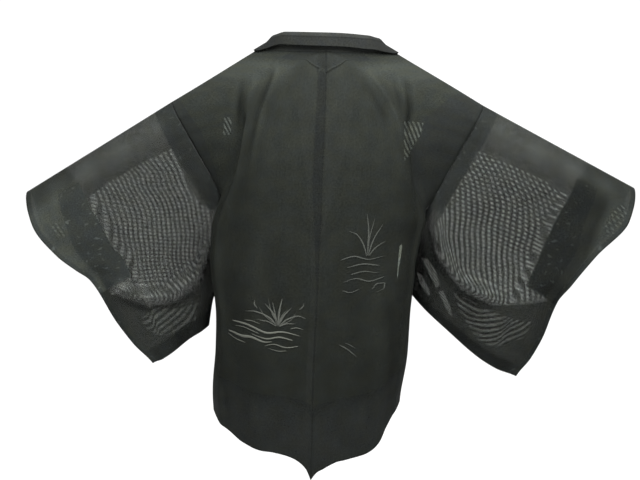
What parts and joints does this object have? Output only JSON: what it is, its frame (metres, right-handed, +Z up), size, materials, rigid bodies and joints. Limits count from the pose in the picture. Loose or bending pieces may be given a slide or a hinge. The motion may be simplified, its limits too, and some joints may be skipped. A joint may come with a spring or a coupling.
{
  "type": "haori jacket",
  "caption": "Open hip-length kimono jacket in sheer black weave, hollow and worn: deep bag sleeves held out, neck band folded back at the nape and running down the fronts.",
  "frame": {"origin": "on the shoulder line at the middle of the neck, where the wearer's shoulders carry the garment", "axes": "+Z up, +X to the wearer's left along the raised sleeve, -Y out of the open front, so the back faces +Y"},
  "size_m": [1.1288, 0.3398, 0.7998],
  "materials": {
    "body_cloth": "sheer matte weave, two panels and gussets",
    "sleeve_cloth": "sheer matte weave, unlined sleeves",
    "collar_cloth": "matte weave in several layers"
  },
  "bodies": {
    "root": {"body_panel_left": "body_cloth", "body_panel_right": "body_cloth", "sleeve_left": "sleeve_cloth", "sleeve_right": "sleeve_cloth", "side_gusset_left": "body_cloth", "side_gusset_right": "body_cloth", "collar": "collar_cloth", "nape_facing": "collar_cloth"}
  },
  "joints": []
}
